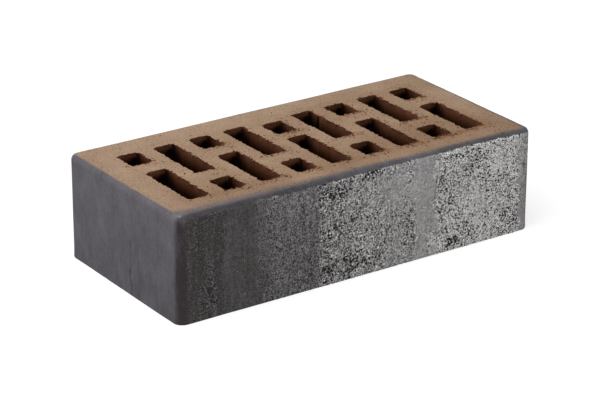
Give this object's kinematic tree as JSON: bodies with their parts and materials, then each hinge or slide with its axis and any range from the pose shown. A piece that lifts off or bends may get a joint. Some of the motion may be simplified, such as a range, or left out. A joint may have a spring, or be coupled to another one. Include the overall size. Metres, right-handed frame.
{
  "type": "perforated clay brick",
  "caption": "Extruded facing brick of fired clay with staggered rows of upright perforations, rounded upright edges and a sanded grey coat on its side faces.",
  "frame": {"origin": "middle of the lower bed face", "axes": "+X along the length, -Y out of the sanded stretcher face, +Z out of the upper bed face"},
  "size_m": [0.25, 0.12, 0.065],
  "materials": {
    "fired_clay": "matte"
  },
  "bodies": {
    "root": {"brick": "fired_clay"}
  },
  "joints": []
}
